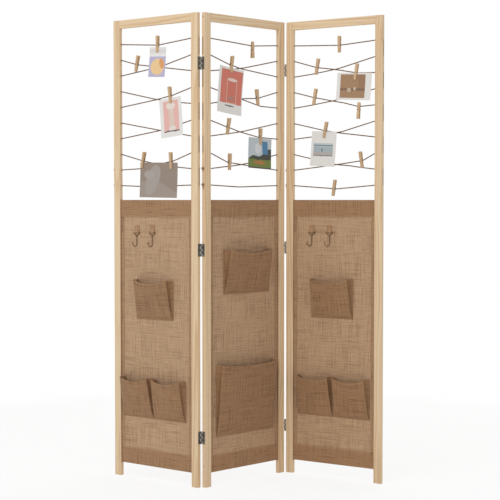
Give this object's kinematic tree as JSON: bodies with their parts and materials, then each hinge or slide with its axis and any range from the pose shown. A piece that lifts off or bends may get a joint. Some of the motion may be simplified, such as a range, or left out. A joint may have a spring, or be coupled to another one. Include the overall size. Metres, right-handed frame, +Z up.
{
  "type": "folding room divider",
  "caption": "Folding wooden screen with burlap panels, cloth pockets, wire hooks and twine-laced windows with pegs that hold prints.",
  "frame": {"origin": "on the floor under the middle of the screen's bounding box as it stands", "axes": "+Z up, +X from the left end to the right end seen from the front, +Y away from the viewer"},
  "size_m": [1.006, 0.3409, 1.7],
  "materials": {
    "pine": "clear matt",
    "twine": "natural jute",
    "burlap": "open plain weave",
    "pocket_burlap": "plain weave, doubled",
    "print_paper": "satin",
    "spring_steel": "bright",
    "hinge_steel": "satin",
    "hook_wire": "bronze",
    "peg_wood": "plain"
  },
  "bodies": {
    "left_panel": {"left_stiles": "pine", "left_rails": "pine", "left_twine": "twine", "left_burlap": "burlap", "left_peg_backs": "peg_wood", "left_peg_springs": "spring_steel", "left_cards": "print_paper", "left_hinge_leaves": "hinge_steel", "left_screws": "hinge_steel", "left_upper_pocket": "pocket_burlap", "left_lower_pockets": "pocket_burlap", "left_hook_tabs": "pocket_burlap"},
    "centre_panel": {"centre_stiles": "pine", "centre_rails": "pine", "centre_twine": "twine", "centre_burlap": "burlap", "centre_peg_backs": "peg_wood", "centre_peg_springs": "spring_steel", "centre_cards": "print_paper", "centre_hinge_leaves": "hinge_steel", "centre_screws": "hinge_steel", "centre_upper_pocket": "pocket_burlap", "centre_lower_pocket": "pocket_burlap", "left_fold_pins": "hinge_steel", "right_fold_pins": "hinge_steel"},
    "right_panel": {"right_stiles": "pine", "right_rails": "pine", "right_twine": "twine", "right_burlap": "burlap", "right_peg_backs": "peg_wood", "right_peg_springs": "spring_steel", "right_cards": "print_paper", "right_hinge_leaves": "hinge_steel", "right_screws": "hinge_steel", "right_upper_pocket": "pocket_burlap", "right_lower_pockets": "pocket_burlap", "right_hook_tabs": "pocket_burlap"},
    "left_hook_1": {"left_hook_1": "hook_wire"},
    "left_hook_2": {"left_hook_2": "hook_wire"},
    "right_hook_1": {"right_hook_1": "hook_wire"},
    "right_hook_2": {"right_hook_2": "hook_wire"},
    "left_peg_1": {"left_peg_1": "peg_wood"},
    "left_peg_2": {"left_peg_2": "peg_wood"},
    "left_peg_3": {"left_peg_3": "peg_wood"},
    "left_peg_4": {"left_peg_4": "peg_wood"},
    "left_peg_5": {"left_peg_5": "peg_wood"},
    "centre_peg_1": {"centre_peg_1": "peg_wood"},
    "centre_peg_2": {"centre_peg_2": "peg_wood"},
    "centre_peg_3": {"centre_peg_3": "peg_wood"},
    "centre_peg_4": {"centre_peg_4": "peg_wood"},
    "centre_peg_5": {"centre_peg_5": "peg_wood"},
    "centre_peg_6": {"centre_peg_6": "peg_wood"},
    "right_peg_1": {"right_peg_1": "peg_wood"},
    "right_peg_2": {"right_peg_2": "peg_wood"},
    "right_peg_3": {"right_peg_3": "peg_wood"},
    "right_peg_4": {"right_peg_4": "peg_wood"},
    "right_peg_5": {"right_peg_5": "peg_wood"},
    "right_peg_6": {"right_peg_6": "peg_wood"},
    "right_peg_7": {"right_peg_7": "peg_wood"},
    "right_peg_8": {"right_peg_8": "peg_wood"}
  },
  "joints": [
    {"name": "centre_left_fold", "type": "hinge", "parent": "centre_panel", "child": "left_panel", "pos_m": [-0.13499, -0.15755, 0.855], "axis": [0, 0, 1], "range_deg": [-100, 79.5]},
    {"name": "centre_right_fold", "type": "hinge", "parent": "centre_panel", "child": "right_panel", "pos_m": [0.12317, 0.15679, 0.855], "axis": [0, 0, 1], "range_deg": [-104.5, 75], "deforming": ["centre_upper_pocket", "centre_lower_pocket", "right_upper_pocket", "right_lower_pockets"]},
    {"name": "hook_left_1", "type": "hinge", "parent": "left_panel", "child": "left_hook_1", "pos_m": [-0.40435, -0.03621, 0.915], "axis": [-0.8949, 0.4462, 0], "range_deg": [0, 85]},
    {"name": "hook_left_2", "type": "hinge", "parent": "left_panel", "child": "left_hook_2", "pos_m": [-0.33723, -0.06968, 0.915], "axis": [-0.8949, 0.4462, 0], "range_deg": [0, 85]},
    {"name": "hook_right_1", "type": "hinge", "parent": "right_panel", "child": "right_hook_1", "pos_m": [0.22829, 0.12014, 0.915], "axis": [-0.9272, 0.3746, 0], "range_deg": [0, 85]},
    {"name": "hook_right_2", "type": "hinge", "parent": "right_panel", "child": "right_hook_2", "pos_m": [0.29783, 0.09204, 0.915], "axis": [-0.9272, 0.3746, 0], "range_deg": [0, 85]},
    {"name": "peg_left_1", "type": "hinge", "parent": "left_panel", "child": "left_peg_1", "pos_m": [-0.31257, -0.07851, 1.60347], "axis": [-0.8949, 0.4462, 0], "range_deg": [0, 14], "stiffness_Nm_per_rad": 0.02, "springref_deg": -22.92, "deforming": ["left_peg_springs"]},
    {"name": "peg_left_2", "type": "hinge", "parent": "left_panel", "child": "left_peg_2", "pos_m": [-0.40103, -0.0344, 1.5384], "axis": [-0.8754, 0.4364, 0.2079], "range_deg": [0, 14], "stiffness_Nm_per_rad": 0.02, "springref_deg": -22.92, "deforming": ["left_peg_springs"]},
    {"name": "peg_left_3", "type": "hinge", "parent": "left_panel", "child": "left_peg_3", "pos_m": [-0.26029, -0.10457, 1.41645], "axis": [-0.89, 0.4438, -0.1045], "range_deg": [0, 14], "stiffness_Nm_per_rad": 0.02, "springref_deg": -22.92, "deforming": ["left_peg_springs"]},
    {"name": "peg_left_4", "type": "hinge", "parent": "left_panel", "child": "left_peg_4", "pos_m": [-0.37511, -0.04733, 1.18338], "axis": [-0.8754, 0.4364, 0.2079], "range_deg": [0, 14], "stiffness_Nm_per_rad": 0.02, "springref_deg": -22.92, "deforming": ["left_peg_springs"]},
    {"name": "peg_left_5", "type": "hinge", "parent": "left_panel", "child": "left_peg_5", "pos_m": [-0.25736, -0.10604, 1.17948], "axis": [-0.8937, 0.4456, -0.0523], "range_deg": [0, 14], "stiffness_Nm_per_rad": 0.02, "springref_deg": -22.92, "deforming": ["left_peg_springs"]},
    {"name": "peg_centre_1", "type": "hinge", "parent": "centre_panel", "child": "centre_peg_1", "pos_m": [0.01877, 0.03237, 1.5845], "axis": [0.6018, 0.7986, 0], "range_deg": [0, 14], "stiffness_Nm_per_rad": 0.02, "springref_deg": -22.92, "deforming": ["centre_peg_springs"]},
    {"name": "peg_centre_2", "type": "hinge", "parent": "centre_panel", "child": "centre_peg_2", "pos_m": [-0.04342, -0.05016, 1.52847], "axis": [-0.5973, -0.7927, 0.1219], "range_deg": [0, 14], "stiffness_Nm_per_rad": 0.02, "springref_deg": -22.92, "deforming": ["centre_peg_springs"]},
    {"name": "peg_centre_3", "type": "hinge", "parent": "centre_panel", "child": "centre_peg_3", "pos_m": [0.0334, 0.05179, 1.41545], "axis": [-0.5973, -0.7927, -0.1219], "range_deg": [0, 14], "stiffness_Nm_per_rad": 0.02, "springref_deg": -22.92, "deforming": ["centre_peg_springs"]},
    {"name": "peg_centre_4", "type": "hinge", "parent": "centre_panel", "child": "centre_peg_4", "pos_m": [-0.05348, -0.06351, 1.30343], "axis": [-0.5927, -0.7865, 0.1736], "range_deg": [0, 14], "stiffness_Nm_per_rad": 0.02, "springref_deg": -22.92, "deforming": ["centre_peg_springs"]},
    {"name": "peg_centre_5", "type": "hinge", "parent": "centre_panel", "child": "centre_peg_5", "pos_m": [0.04294, 0.06445, 1.2715], "axis": [-0.6014, -0.7981, 0.0349], "range_deg": [0, 14], "stiffness_Nm_per_rad": 0.02, "springref_deg": -22.92, "deforming": ["centre_peg_springs"]},
    {"name": "peg_centre_6", "type": "hinge", "parent": "centre_panel", "child": "centre_peg_6", "pos_m": [-0.04967, -0.05845, 1.17546], "axis": [-0.601, -0.7975, 0.0523], "range_deg": [0, 14], "stiffness_Nm_per_rad": 0.02, "springref_deg": -22.92, "deforming": ["centre_peg_springs"]},
    {"name": "peg_right_1", "type": "hinge", "parent": "right_panel", "child": "right_peg_1", "pos_m": [0.33424, 0.08068, 1.60848], "axis": [-0.9272, 0.3746, 0], "range_deg": [0, 14], "stiffness_Nm_per_rad": 0.02, "springref_deg": -22.92, "deforming": ["right_peg_springs"]},
    {"name": "peg_right_2", "type": "hinge", "parent": "right_panel", "child": "right_peg_2", "pos_m": [0.24887, 0.11517, 1.5314], "axis": [-0.9131, 0.3689, 0.1736], "range_deg": [0, 14], "stiffness_Nm_per_rad": 0.02, "springref_deg": -22.92, "deforming": ["right_peg_springs"]},
    {"name": "peg_right_3", "type": "hinge", "parent": "right_panel", "child": "right_peg_3", "pos_m": [0.399, 0.05451, 1.50441], "axis": [-0.9158, 0.37, 0.1564], "range_deg": [0, 14], "stiffness_Nm_per_rad": 0.02, "springref_deg": -22.92, "deforming": ["right_peg_springs"]},
    {"name": "peg_right_4", "type": "hinge", "parent": "right_panel", "child": "right_peg_4", "pos_m": [0.2396, 0.11891, 1.42041], "axis": [-0.9131, 0.3689, 0.1736], "range_deg": [0, 14], "stiffness_Nm_per_rad": 0.02, "springref_deg": -22.92, "deforming": ["right_peg_springs"]},
    {"name": "peg_right_5", "type": "hinge", "parent": "right_panel", "child": "right_peg_5", "pos_m": [0.40848, 0.05068, 1.35852], "axis": [0.9259, -0.3741, -0.0523], "range_deg": [0, 14], "stiffness_Nm_per_rad": 0.02, "springref_deg": -22.92, "deforming": ["right_peg_springs"]},
    {"name": "peg_right_6", "type": "hinge", "parent": "right_panel", "child": "right_peg_6", "pos_m": [0.28143, 0.10201, 1.29643], "axis": [-0.9101, 0.3677, 0.1908], "range_deg": [0, 14], "stiffness_Nm_per_rad": 0.02, "springref_deg": -22.92, "deforming": ["right_peg_springs"]},
    {"name": "peg_right_7", "type": "hinge", "parent": "right_panel", "child": "right_peg_7", "pos_m": [0.41883, 0.0465, 1.18345], "axis": [-0.9182, 0.371, -0.1392], "range_deg": [0, 14], "stiffness_Nm_per_rad": 0.02, "springref_deg": -22.92, "deforming": ["right_peg_springs"]},
    {"name": "peg_right_8", "type": "hinge", "parent": "right_panel", "child": "right_peg_8", "pos_m": [0.31546, 0.08826, 1.08142], "axis": [-0.9182, 0.371, 0.1392], "range_deg": [0, 14], "stiffness_Nm_per_rad": 0.02, "springref_deg": -22.92, "deforming": ["right_peg_springs"]}
  ]
}
